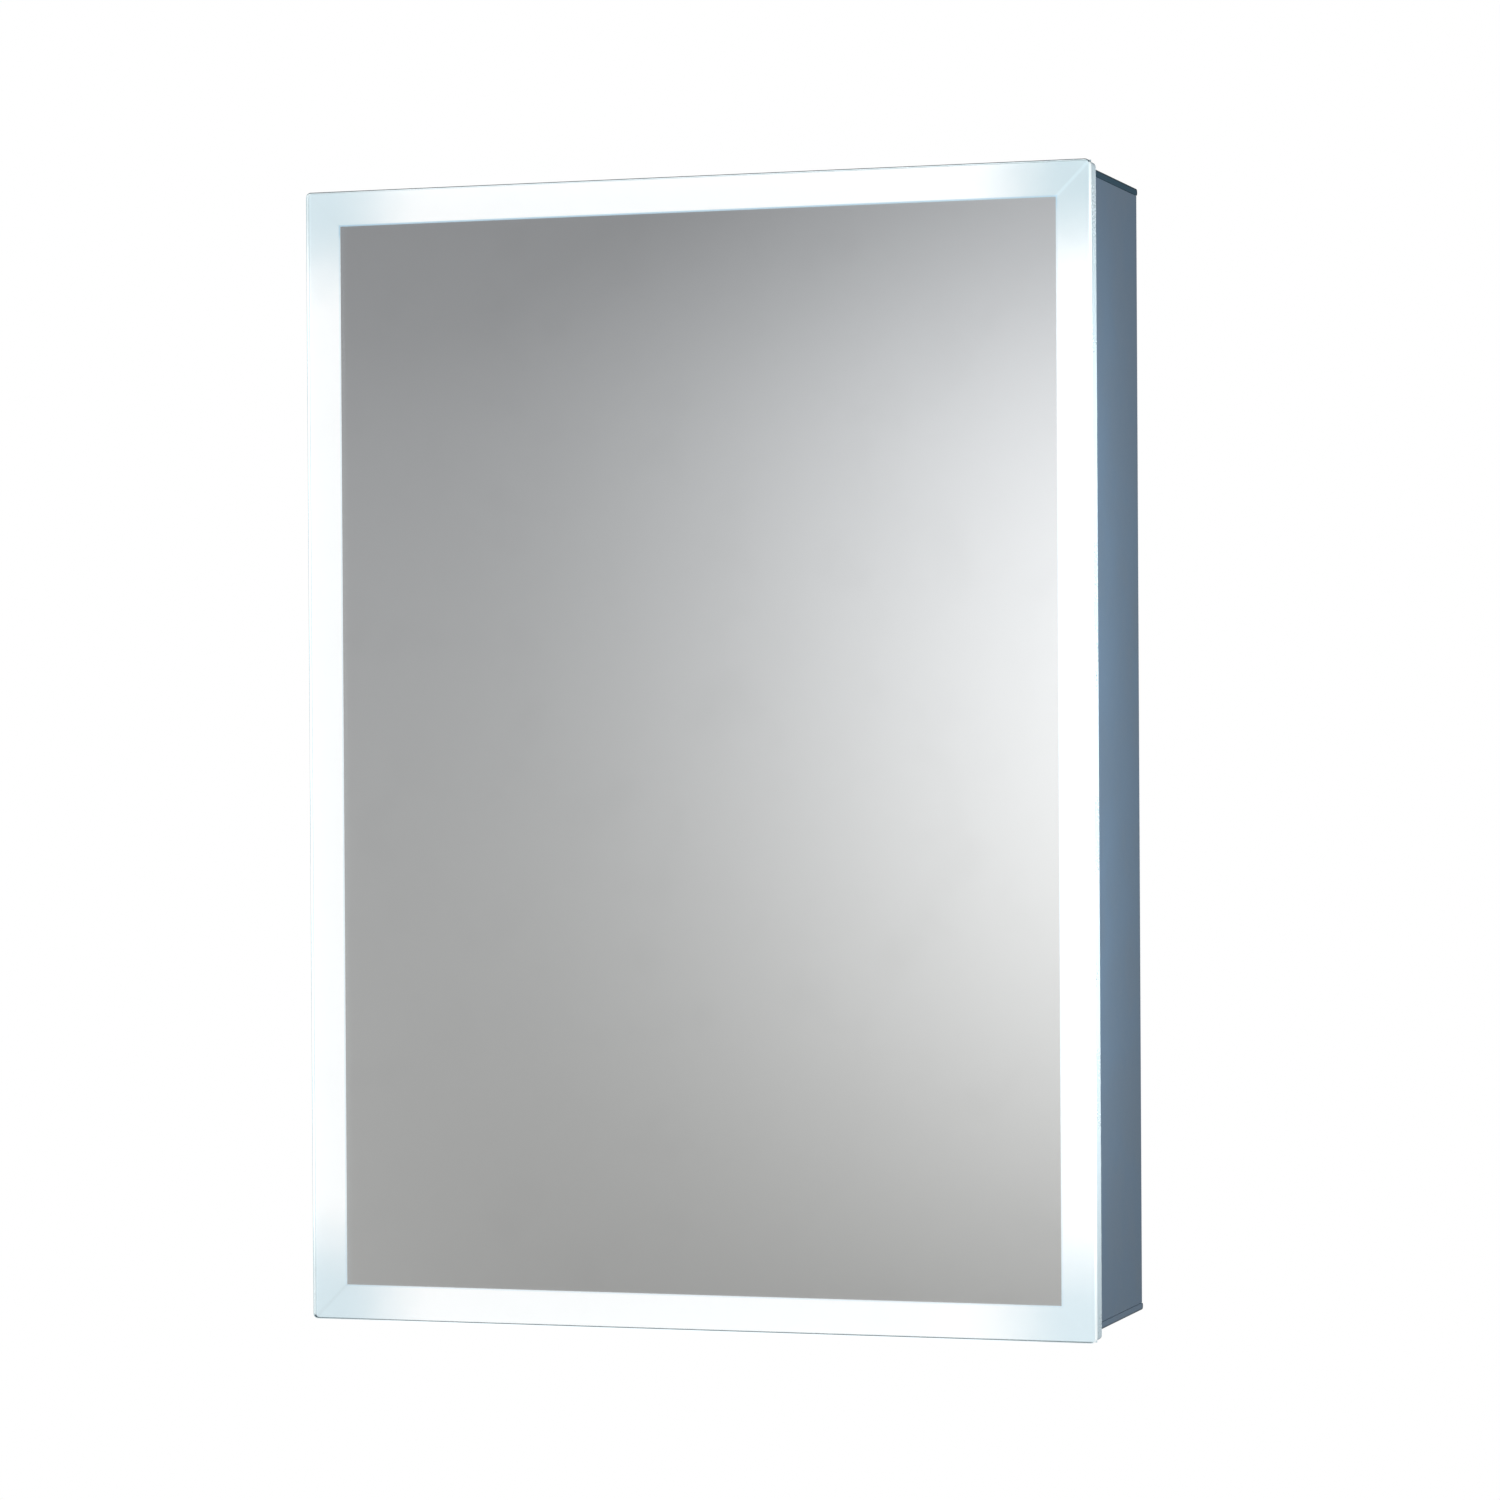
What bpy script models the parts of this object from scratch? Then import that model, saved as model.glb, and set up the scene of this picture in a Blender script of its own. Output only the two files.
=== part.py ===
"""Wall-hung medicine cabinet with one lit mirror door, as separate parts. Metres, +Z up.

The origin is the centre of the rear face, which lies on the wall. The front is -Y, and +X is the
viewer's right. The door hangs on a continuous hinge along its left edge.
"""

import math

import bmesh
import bpy
from mathutils import Matrix, Vector

# Whole cabinet
TOTAL_DEPTH = 0.136
DOOR_WIDTH = 0.500
DOOR_HEIGHT = 0.700
BODY_WIDTH = 0.494
BODY_HEIGHT = 0.691
DOOR_DROP = 0.001  # how far the door's middle is below the body's
FIT = 0.0003  # gap between pieces that touch

# Body
DOOR_DEPTH = 0.0176
DOOR_GAP = 0.0024
PLATE = 0.004  # top and bottom panels
SKIN = 0.0015  # outer skin of a side
LINER = 0.0012  # inner skin of a side
SIDE = 0.012  # a whole side, skin to liner
REAR_SHEET = 0.0012
BACK_MIRROR = 0.003
BEND = 0.0012  # outer radius of a fold in the sheet

# Shelves
SHELF = 0.005
SHELF_GAP = 0.0008  # from a shelf's ends to the liners
SHELF_SETBACK = 0.014
SHELF_ROWS = (-2, 0, 2)  # which of the rows of holes carry the shelves
ROW_PITCH = 0.064
ROWS = range(-3, 4)
SHELF_MIDDLE = -0.038  # height of the middle row
HOLE_RADIUS = 0.0025
PIN_RADIUS = 0.0021
PEG_RADIUS = 0.003
PIN_SETBACKS = (0.032, 0.092)  # the two columns of holes, from the body's front

# Service space behind the cover at the top
COVER_BOTTOM = 0.273
COVER_SETBACK = 0.018
DRIVER_SIZE = (0.130, 0.038, 0.026)
DRIVER_PLACE = (-0.060, -0.053)
TERMINAL_SIZE = (0.040, 0.023, 0.018)
TERMINAL_Y = -0.0335
GROMMET_HOLE = 0.008

# Shaver socket in the cover
SOCKET_PLACE = (0.150, 0.307)
SOCKET_PLATE = (0.086, 0.052)
SOCKET_THICK = 0.0045
SOCKET_BODY = (0.066, 0.038)
SOCKET_DEPTH = 0.032
SOCKET_HOLE = 0.0026
SOCKET_HOLE_DEPTH = 0.018  # of a hole in the housing
SOCKET_SPREAD = (0.020, 0.0095)  # of the holes, from the middle

# Hanging fittings: a bracket and a hook behind each upper rear window
WINDOW = 0.022  # width and height
WINDOW_BOTTOM = 0.300
BRACKET_WIDTH = 0.026
BRACKET_SHEET = 0.002
BRACKET_FRONT = -0.015
BRACKET_SPAN = (0.293, 0.337)
HOOK_SHEET = 0.003
HOOK_FACE = -0.0095  # rear of the hook's back plate
HOOK_TIP = -0.0004
HOOK_TIP_SPAN = (0.3035, 0.3175)
HOOK_SPAN = (0.297, 0.334)
HOOK_WIDTH = 0.018

# Infrared switch in the floor panel
SENSOR_HOLE = 0.006
SENSOR_SIZE = (0.034, 0.022)
SENSOR_HEIGHT = 0.012

# Catch
MAGNET_SIZE = (0.012, 0.030, 0.040)
MAGNET_PROUD = 0.0005
STRIKE_SIZE = (0.007, 0.0012, 0.036)
BUMPER_Z = 0.300

# Door
GLASS = 0.005
GLASS_CORNER = 0.0030
FRAME_CORNER = 0.0027
GLASS_OVERHANG = 0.0005  # glass past the frame behind it
BORDER = 0.0215  # lit border of the glass
CHANNEL = 0.0226  # width of the frame profile
WALL = 0.0016
REBATE = 0.0027  # width of the step that clears the hinge's barrel
DIFFUSER = 0.002
BACKING = 0.001
INNER_MIRROR = 0.003
PAD_SIZE = (0.300, 0.0006, 0.400)
STRIP = (0.0012, 0.006)  # an LED strip's thickness and width
STRIP_GAP = 0.0006  # from the diffuser to the strip
STRIP_END = 0.052  # each LED strip stops this far from the corners

# Continuous hinge
HINGE_LENGTH = 0.640
KNUCKLES = 20
LEAF = 0.0007
LEAF_SETBACK = 0.0023  # the leaf's near edge from the hinge's axis
TAB_START = 0.00145
LEAF_WIDTH = 0.010
BARREL = 0.0019
BORE = 0.0012
PIN = 0.001
KNUCKLE_GAP = 0.0004
ROUND = 12  # sides of a small round piece

# Derived places
BODY_FRONT = -(TOTAL_DEPTH - DOOR_DEPTH - DOOR_GAP)
DOOR_REAR = BODY_FRONT - DOOR_GAP
GLASS_REAR = -TOTAL_DEPTH + GLASS
FRAME_FRONT = GLASS_REAR + FIT
TOP = BODY_HEIGHT / 2
INNER_TOP = TOP - PLATE - FIT
INNER_X = BODY_WIDTH / 2 - SIDE
REAR_INNER = -REAR_SHEET - FIT
FRAME_X = DOOR_WIDTH / 2 - GLASS_OVERHANG
FRAME_Z = DOOR_HEIGHT / 2 - GLASS_OVERHANG
HINGE_X = -BODY_WIDTH / 2 - BARREL - FIT
HINGE_Y = BODY_FRONT - DOOR_GAP / 2
HANGER_X = 0.212
GROMMET_X = 0.040
GROMMET_Z = 0.312
SENSOR_X = 0.170
SENSOR_Y = -0.092


def clear_scene():
    for obj in list(bpy.data.objects):
        bpy.data.objects.remove(obj, do_unlink=True)


def material(name, colour, roughness, metallic=0.0):
    made = bpy.data.materials.new(name)
    made.use_nodes = True
    shader = made.node_tree.nodes["Principled BSDF"]
    shader.inputs["Base Color"].default_value = (*colour, 1.0)
    shader.inputs["Roughness"].default_value = roughness
    shader.inputs["Metallic"].default_value = metallic
    made.diffuse_color = (*colour, 1.0)
    return made


def add_object(name, bm, finish, parent=None, hidden=False):
    """An object from bm, which is in world coordinates, with its origin at its middle."""
    bmesh.ops.recalc_face_normals(bm, faces=bm.faces[:])
    mesh = bpy.data.meshes.new(name)
    bm.to_mesh(mesh)
    bm.free()
    corners = [v.co for v in mesh.vertices]
    low = Vector([min(c[i] for c in corners) for i in range(3)])
    high = Vector([max(c[i] for c in corners) for i in range(3)])
    middle = (low + high) / 2
    mesh.transform(Matrix.Translation(-middle))
    if finish:
        mesh.materials.append(finish)
    obj = bpy.data.objects.new(name, mesh)
    bpy.context.scene.collection.objects.link(obj)
    obj.location = middle - (parent.location if parent else Vector())
    obj.parent = parent
    obj.hide_render = hidden
    obj.display_type = "WIRE" if hidden else "TEXTURED"
    return obj


def add_box(bm, low, high):
    size = Vector(high) - Vector(low)
    place = Matrix.Translation((Vector(low) + Vector(high)) / 2) @ Matrix.Diagonal((*size, 1))
    bmesh.ops.create_cube(bm, size=1, matrix=place)


def box(name, low, high, finish, parent=None, hidden=False):
    bm = bmesh.new()
    add_box(bm, low, high)
    return add_object(name, bm, finish, parent, hidden)


def add_cylinder(bm, centre, axis, radius, length, sides=ROUND):
    turn = Vector((0, 0, 1)).rotation_difference(Vector(axis)).to_matrix().to_4x4()
    place = Matrix.Translation(centre) @ turn
    bmesh.ops.create_cone(
        bm, cap_ends=True, segments=sides, radius1=radius, radius2=radius, depth=length, matrix=place
    )


def arc(centre, radius, start, end, steps):
    turns = [math.radians(start + (end - start) * i / steps) for i in range(steps + 1)]
    return [(centre[0] + radius * math.cos(t), centre[1] + radius * math.sin(t)) for t in turns]


def rounded_rectangle(centre, width, height, radius, steps=4):
    right, up = width / 2 - radius, height / 2 - radius
    corners = ((right, up, 0), (-right, up, 90), (-right, -up, 180), (right, -up, 270))
    points = []
    for x, z, start in corners:
        points += arc((centre[0] + x, centre[1] + z), radius, start, start + 90, steps)
    return points


def add_prism(bm, outline, axis, low, high):
    """Extrudes an outline of (first, second) coordinates along axis, from low to high."""
    place = {
        "X": lambda a, b, along: (along, a, b),
        "Y": lambda a, b, along: (a, along, b),
        "Z": lambda a, b, along: (a, b, along),
    }[axis]
    ends = [[bm.verts.new(place(a, b, along)) for a, b in outline] for along in (low, high)]
    bm.faces.new(ends[0])
    bm.faces.new(reversed(ends[1]))
    for i in range(len(outline)):
        j = (i + 1) % len(outline)
        bm.faces.new((ends[0][i], ends[0][j], ends[1][j], ends[1][i]))


def prism(name, outline, axis, low, high, finish, parent=None):
    bm = bmesh.new()
    add_prism(bm, outline, axis, low, high)
    return add_object(name, bm, finish, parent)


def turned(name, profile, place, axis, finish, sides=24):
    """Spins a profile of (radius, height) about an axis through place; heights run along the axis."""
    bm = bmesh.new()
    verts = [bm.verts.new((r, 0, h)) for r, h in profile]
    edges = [bm.edges.new((verts[i], verts[(i + 1) % len(verts)])) for i in range(len(verts))]
    if profile[0][0] == 0:
        bm.edges.remove(edges.pop())
    bmesh.ops.spin(
        bm, geom=verts + edges, cent=(0, 0, 0), axis=(0, 0, 1), angle=2 * math.pi, steps=sides
    )
    bmesh.ops.remove_doubles(bm, verts=bm.verts[:], dist=1e-6)
    turn = Vector((0, 0, 1)).rotation_difference(Vector(axis)).to_matrix().to_4x4()
    bm.transform(Matrix.Translation(place) @ turn)
    obj = add_object(name, bm, finish)
    obj.data.shade_smooth()
    obj.data.set_sharp_from_angle(angle=math.radians(35))
    return obj


def combine(target, other, operation):
    boolean = target.modifiers.new(operation.lower(), "BOOLEAN")
    boolean.operation = operation
    boolean.object = other


def soften(obj, width, segments=2):
    bevel = obj.modifiers.new("bevel", "BEVEL")
    bevel.width = width
    bevel.segments = segments
    bevel.limit_method = "ANGLE"
    bevel.angle_limit = math.radians(50)


def make_end_panel(name, side, finish):
    """Top (side 1) or bottom (side -1) panel: a thick sheet whose rear edge is rolled round."""
    half = PLATE / 2
    middle = side * (TOP - half)
    outline = arc((-half, middle), half, -90, 90, 8)
    outline += arc((BODY_FRONT + BEND, middle + half - BEND), BEND, 90, 180, 3)
    outline += arc((BODY_FRONT + BEND, middle - half + BEND), BEND, 180, 270, 3)
    return prism(name, outline, "X", -BODY_WIDTH / 2, BODY_WIDTH / 2, finish)


def side_point(side, across, depth):
    """World x and y of a point given from a side's outer face inwards and from the body's front."""
    return side * (BODY_WIDTH / 2 - across), BODY_FRONT + depth


def make_side(name, side, finish):
    """A side's outer skin, folded inwards along its front and its rear."""
    depth = REAR_INNER - BODY_FRONT
    reach = SIDE - LINER - FIT
    outline = arc((BEND, BEND), BEND, 270, 180, 4)
    outline += arc((BEND, depth - BEND), BEND, 180, 90, 4)
    outline += [(reach, depth), (reach, depth - SKIN), (SKIN, depth - SKIN)]
    outline += [(SKIN, SKIN), (reach, SKIN), (reach, 0)]
    points = [side_point(side, across, along) for across, along in outline]
    return prism(name, points, "Z", -INNER_TOP, INNER_TOP, finish)


def row_height(row):
    return SHELF_MIDDLE + row * ROW_PITCH


def make_liner(name, side, finish):
    """A side's inner skin, with two columns of holes for the shelf pins."""
    near, front = side_point(side, SIDE, 0)
    far, rear = side_point(side, SIDE - LINER, REAR_INNER - BODY_FRONT)
    low, high = (min(near, far), front, -INNER_TOP), (max(near, far), rear, INNER_TOP)
    liner = box(name, low, high, finish)
    bm = bmesh.new()
    for setback in PIN_SETBACKS:
        for row in ROWS:
            centre = ((near + far) / 2, BODY_FRONT + setback, row_height(row))
            add_cylinder(bm, centre, (1, 0, 0), HOLE_RADIUS, 4 * LINER)
    combine(liner, add_object(name + "_holes", bm, None, hidden=True), "DIFFERENCE")
    return liner


def make_rear_panel(finish):
    edge = BODY_WIDTH / 2 - 2 * FIT
    panel = box("rear_panel", (-edge, -REAR_SHEET, -INNER_TOP), (edge, 0, INNER_TOP), finish)
    bm = bmesh.new()
    for side in (-1, 1):
        low = (side * HANGER_X - WINDOW / 2, -2 * REAR_SHEET, WINDOW_BOTTOM)
        add_box(bm, low, (low[0] + WINDOW, 2 * REAR_SHEET, WINDOW_BOTTOM + WINDOW))
    add_cylinder(bm, (GROMMET_X, 0, GROMMET_Z), (0, 1, 0), GROMMET_HOLE, 4 * REAR_SHEET, 24)
    combine(panel, add_object("rear_panel_cuts", bm, None, hidden=True), "DIFFERENCE")
    return panel


def make_back_mirror(finish):
    half = INNER_X - 2 * FIT
    low = (-half, REAR_INNER - FIT - BACK_MIRROR, -INNER_TOP)
    high = (half, REAR_INNER - FIT, COVER_BOTTOM - FIT)
    mirror = box("back_mirror", low, high, finish)
    soften(mirror, 0.0004, 1)
    return mirror


def make_shelf(name, row, finish):
    bottom = row_height(row) + PEG_RADIUS + FIT
    half = INNER_X - SHELF_GAP
    low = (-half, BODY_FRONT + SHELF_SETBACK, bottom)
    high = (half, REAR_INNER - BACK_MIRROR - 2 * SHELF_GAP, bottom + SHELF)
    shelf = box(name, low, high, finish)
    soften(shelf, 0.0006)
    return shelf


def make_shelf_pins(shelf_name, row, finish):
    """Four pins: each has a stem in the liner's hole and a thicker peg under the glass."""
    profile = [(0, -0.0016), (PIN_RADIUS, -0.0016), (PIN_RADIUS, FIT), (PEG_RADIUS, FIT)]
    profile += [(PEG_RADIUS, 0.0074), (PEG_RADIUS - 0.0006, 0.008), (0, 0.008)]
    for side in (-1, 1):
        for place, setback in zip(("front", "rear"), PIN_SETBACKS):
            hand = "left" if side < 0 else "right"
            x, y = side_point(side, SIDE, setback)
            name = f"{shelf_name}_pin_{hand}_{place}"
            turned(name, profile, (x, y, row_height(row)), (-side, 0, 0), finish, ROUND)


def make_service_cover(finish):
    """An L-shaped cover over the driver and the wiring, with an opening for the shaver socket."""
    front = BODY_FRONT + COVER_SETBACK
    outline = [(front, INNER_TOP)]
    outline += arc((front + BEND, COVER_BOTTOM + BEND), BEND, 180, 270, 4)
    outline += [(REAR_INNER - FIT, COVER_BOTTOM), (REAR_INNER - FIT, COVER_BOTTOM + LINER)]
    outline += [(front + LINER, COVER_BOTTOM + LINER), (front + LINER, INNER_TOP)]
    half = INNER_X - 2 * FIT
    cover = prism("service_cover", outline, "X", -half, half, finish)
    low, high = socket_box(front - LINER, front + 2 * LINER, 0.001)
    combine(cover, box("socket_opening", low, high, None, hidden=True), "DIFFERENCE")


def socket_box(front, rear, margin=0.0):
    """Corners of a box round the socket's housing, from front to rear."""
    x, z = SOCKET_PLACE
    across, up = SOCKET_BODY[0] / 2 + margin, SOCKET_BODY[1] / 2 + margin
    return (x - across, front, z - up), (x + across, rear, z + up)


def socket_holes(name, middle, length):
    """The cutter for the socket's two pairs of round holes."""
    bm = bmesh.new()
    for x in (-SOCKET_SPREAD[0], SOCKET_SPREAD[0]):
        for z in (-SOCKET_SPREAD[1], SOCKET_SPREAD[1]):
            place = (SOCKET_PLACE[0] + x, middle, SOCKET_PLACE[1] + z)
            add_cylinder(bm, place, (0, 1, 0), SOCKET_HOLE, length, 24)
    return add_object(name, bm, None, hidden=True)


def make_shaver_socket(plate_finish, housing_finish):
    """A shaver socket: a plate with two pairs of round holes, and the housing behind the cover."""
    rear = BODY_FRONT + COVER_SETBACK - FIT
    outline = rounded_rectangle(SOCKET_PLACE, *SOCKET_PLATE, 0.004)
    plate = prism("socket_plate", outline, "Y", rear - SOCKET_THICK, rear, plate_finish)
    soften(plate, 0.0008)
    combine(plate, socket_holes("plate_holes", rear, 4 * SOCKET_THICK), "DIFFERENCE")
    low, high = socket_box(rear + FIT, rear + SOCKET_DEPTH)
    housing = box("socket_housing", low, high, housing_finish)
    soften(housing, 0.001)
    holes = socket_holes("housing_holes", rear, 2 * SOCKET_HOLE_DEPTH)
    combine(housing, holes, "DIFFERENCE")


def make_driver(driver_finish, block_finish):
    driver = standing_box("led_driver", DRIVER_PLACE, DRIVER_SIZE, driver_finish)
    soften(driver, 0.003)
    block = standing_box("terminal_block", (GROMMET_X, TERMINAL_Y), TERMINAL_SIZE, block_finish)
    soften(block, 0.001)


def standing_box(name, place, size, finish):
    """A box that stands on the service cover, with place its middle seen from above."""
    floor = COVER_BOTTOM + LINER + FIT
    low = (place[0] - size[0] / 2, place[1] - size[1] / 2, floor)
    return box(name, low, tuple(a + b for a, b in zip(low, size)), finish)


def make_grommet(finish):
    """A rubber grommet in the rear panel, through which the mains lead enters."""
    outer = [(0.0045, 0.0002), (0.0077, 0.0002), (0.0077, 0.0015), (0.0105, 0.0015)]
    inner = [(0.0105, 0.0035), (0.0075, 0.0060), (0.0045, 0.0060)]
    turned("cable_grommet", outer + inner, (GROMMET_X, 0, GROMMET_Z), (0, -1, 0), finish)


def make_hanger(hand, side, bracket_finish, hook_finish):
    """A channel fixed behind the rear panel's window, and the hook that it holds."""
    x, rear, inside = side * HANGER_X, REAR_INNER - FIT, BRACKET_FRONT + BRACKET_SHEET
    outer = BRACKET_WIDTH / 2
    inner = outer - BRACKET_SHEET
    outline = [(x - outer, rear), (x - outer, BRACKET_FRONT)]
    outline += [(x + outer, BRACKET_FRONT), (x + outer, rear), (x + inner, rear)]
    outline += [(x + inner, inside), (x - inner, inside), (x - inner, rear)]
    prism(f"hanging_bracket_{hand}", outline, "Z", *BRACKET_SPAN, bracket_finish)
    back, tip = HOOK_FACE - HOOK_SHEET, HOOK_TIP - HOOK_SHEET
    bottom, top = HOOK_SPAN
    lip, arm = HOOK_TIP_SPAN
    outline = [(back, bottom), (HOOK_FACE, bottom), (HOOK_FACE, arm - HOOK_SHEET)]
    outline += [(tip, arm - HOOK_SHEET), (tip, lip + 0.001), (HOOK_TIP, lip), (HOOK_TIP, arm)]
    outline += [(HOOK_FACE, arm), (HOOK_FACE, top), (back, top)]
    half = HOOK_WIDTH / 2
    prism(f"hanging_hook_{hand}", outline, "X", x - half, x + half, hook_finish)


def make_sensor(bottom_panel, housing_finish, lens_finish):
    """An infrared switch: its housing stands on the floor panel and its lens looks out below."""
    floor = -TOP + PLATE
    bm = bmesh.new()
    add_cylinder(bm, (SENSOR_X, SENSOR_Y, -TOP), (0, 0, 1), SENSOR_HOLE, 4 * PLATE, 24)
    combine(bottom_panel, add_object("sensor_hole", bm, None, hidden=True), "DIFFERENCE")
    outline = rounded_rectangle((SENSOR_X, SENSOR_Y), *SENSOR_SIZE, 0.004)
    top = floor + SENSOR_HEIGHT
    housing = prism("sensor_housing", outline, "Z", floor + FIT, top, housing_finish)
    soften(housing, 0.001)
    profile = [(0, 0.0003), (0.0038, 0.0006), (0.0056, 0.0014), (0.0056, PLATE), (0, PLATE)]
    turned("sensor_lens", profile, (SENSOR_X, SENSOR_Y, -TOP), (0, 0, 1), lens_finish)


def make_bumpers(finish):
    profile = [(0, 0.0021), (0.0024, 0.0019), (0.0036, 0.0010), (0.0038, FIT), (0, FIT)]
    for name, z in (("bumper_upper", BUMPER_Z), ("bumper_lower", -BUMPER_Z)):
        x = BODY_WIDTH / 2 - SIDE / 2
        turned(name, profile, (x, BODY_FRONT, z), (0, -1, 0), finish, 16)


def make_catch(magnet_finish, strike_finish, door):
    """The magnet inside the right side, and the steel strike on the door's frame."""
    outer = INNER_X - FIT
    wide, deep, tall = MAGNET_SIZE
    front = BODY_FRONT - MAGNET_PROUD
    low, high = (outer - wide, front, -tall / 2), (outer, front + deep, tall / 2)
    soften(box("catch_magnet", low, high, magnet_finish), 0.0012)
    wide, deep, tall = STRIKE_SIZE
    rear, outer = DOOR_REAR + FIT, outer - MAGNET_PROUD
    low, high = (outer - wide, rear, -tall / 2), (outer, rear + deep, tall / 2)
    box("strike_plate", low, high, strike_finish, door)


def knuckle_spans(first):
    """Heights of every second knuckle of the hinge, starting with number first."""
    pitch = HINGE_LENGTH / KNUCKLES
    for i in range(first, KNUCKLES, 2):
        start = -HINGE_LENGTH / 2 + i * pitch
        yield start + KNUCKLE_GAP / 2, start + pitch - KNUCKLE_GAP / 2


def add_tube(bm, low, high):
    rings = []
    for z in (low, high):
        for radius in (BARREL, BORE):
            circle = arc((HINGE_X, HINGE_Y), radius, 0, 360, ROUND)[:-1]
            rings.append([bm.verts.new((x, y, z)) for x, y in circle])
    outer_low, inner_low, outer_high, inner_high = rings
    for a, b in (
        (outer_low, outer_high),
        (outer_high, inner_high),
        (inner_high, inner_low),
        (inner_low, outer_low),
    ):
        for i in range(ROUND):
            j = (i + 1) % ROUND
            bm.faces.new((a[i], a[j], b[j], b[i]))


def make_leaf(name, first, low_y, finish, parent=None):
    """One leaf of the hinge: a strip, with tabs that carry every second knuckle."""
    near = HINGE_X + LEAF_SETBACK
    high_y = low_y + LEAF
    half = HINGE_LENGTH / 2
    leaf = box(name, (near, low_y, -half), (near + LEAF_WIDTH, high_y, half), finish, parent)
    tabs, tubes = bmesh.new(), bmesh.new()
    for low, high in knuckle_spans(first):
        add_box(tabs, (HINGE_X + TAB_START, low_y, low), (near + LEAF, high_y, high))
        add_tube(tubes, low, high)
    combine(leaf, add_object(name + "_tabs", tabs, None, hidden=True), "UNION")
    combine(leaf, add_object(name + "_tubes", tubes, None, hidden=True), "UNION")
    return leaf


def make_hinge(finish, pin_finish, door):
    rest = DOOR_GAP / 2 - FIT - LEAF
    make_leaf("hinge_leaf_body", 0, HINGE_Y + rest, finish)
    make_leaf("hinge_leaf_door", 1, HINGE_Y - rest - LEAF, finish, door)
    bm = bmesh.new()
    add_cylinder(bm, (HINGE_X, HINGE_Y, 0), (0, 0, 1), PIN, HINGE_LENGTH + 0.002)
    add_object("hinge_pin", bm, pin_finish)


def make_glass(finish, door):
    outline = rounded_rectangle((0, -DOOR_DROP), DOOR_WIDTH, DOOR_HEIGHT, GLASS_CORNER, 5)
    glass = prism("door_glass", outline, "Y", -TOTAL_DEPTH, GLASS_REAR, finish, door)
    soften(glass, 0.0005, 1)
    return glass


def frame_place(edge, across, along):
    """World x and z of a point given from an edge of the door's frame inwards and along it."""
    middle = -DOOR_DROP
    return {
        "left": (-FRAME_X + across, middle + along),
        "right": (FRAME_X - across, middle + along),
        "top": (along, middle + FRAME_Z - across),
        "bottom": (along, middle - FRAME_Z + across),
    }[edge]


def frame_half(edge):
    return FRAME_Z if edge in ("left", "right") else FRAME_X


def make_mitred(name, edge, section, finish, door):
    """A bar along one edge of the frame, mitred at both ends. The section is (across, y)."""
    bm = bmesh.new()
    ends = []
    for direction in (-1, 1):
        verts = []
        for across, y in section:
            along = direction * (frame_half(edge) - across - FIT / 2)
            x, z = frame_place(edge, across, along)
            verts.append(bm.verts.new((x, y, z)))
        ends.append(verts)
    bm.faces.new(ends[0])
    bm.faces.new(reversed(ends[1]))
    for i in range(len(section)):
        j = (i + 1) % len(section)
        bm.faces.new((ends[0][i], ends[0][j], ends[1][j], ends[1][i]))
    return add_object(name, bm, finish, door)


def frame_section(edge):
    """The channel that holds the light. On the hinge side its corner is stepped for the barrel."""
    floor = DOOR_REAR - WALL
    lip = FRAME_FRONT + BACKING + FIT
    section = [(CHANNEL, DOOR_REAR), (CHANNEL, lip), (CHANNEL - WALL, lip), (CHANNEL - WALL, floor)]
    if edge == "left":
        step = DOOR_REAR - DOOR_GAP / 2
        section += [(REBATE + WALL, floor), (REBATE + WALL, step - WALL), (WALL, step - WALL)]
        section += [(WALL, FRAME_FRONT), (0, FRAME_FRONT), (0, step), (REBATE, step)]
        section += [(REBATE, DOOR_REAR)]
    else:
        section += [(WALL, floor), (WALL, FRAME_FRONT), (0, FRAME_FRONT), (0, DOOR_REAR)]
    return section


def frame_outline():
    """A guide that rounds the frame's four outer corners where it is cut to it."""
    points = rounded_rectangle((0, -DOOR_DROP), 2 * FRAME_X, 2 * FRAME_Z, FRAME_CORNER)
    bm = bmesh.new()
    add_prism(bm, points, "Y", FRAME_FRONT - WALL, DOOR_REAR + WALL)
    return add_object("frame_outline", bm, None, hidden=True)


def make_light_side(edge, outline, finishes, door):
    """One side of the lit border: the frame profile, the diffuser in it and its LED strip."""
    section = frame_section(edge)
    profile = make_mitred(f"frame_profile_{edge}", edge, section, finishes["frame"], door)
    combine(profile, outline, "INTERSECT")
    near, far = WALL + FIT, CHANNEL - WALL - FIT
    front, rear = FRAME_FRONT, FRAME_FRONT + DIFFUSER
    section = [(near, front), (far, front), (far, rear), (near, rear)]
    make_mitred(f"diffuser_{edge}", edge, section, finishes["diffuser"], door)
    reach = frame_half(edge) - STRIP_END
    first = frame_place(edge, near, -reach)
    second = frame_place(edge, near + STRIP[0], reach)
    rear += STRIP_GAP
    low = (min(first[0], second[0]), rear, min(first[1], second[1]))
    high = (max(first[0], second[0]), rear + STRIP[1], max(first[1], second[1]))
    box(f"led_strip_{edge}", low, high, finishes["strip"], door)


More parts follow.
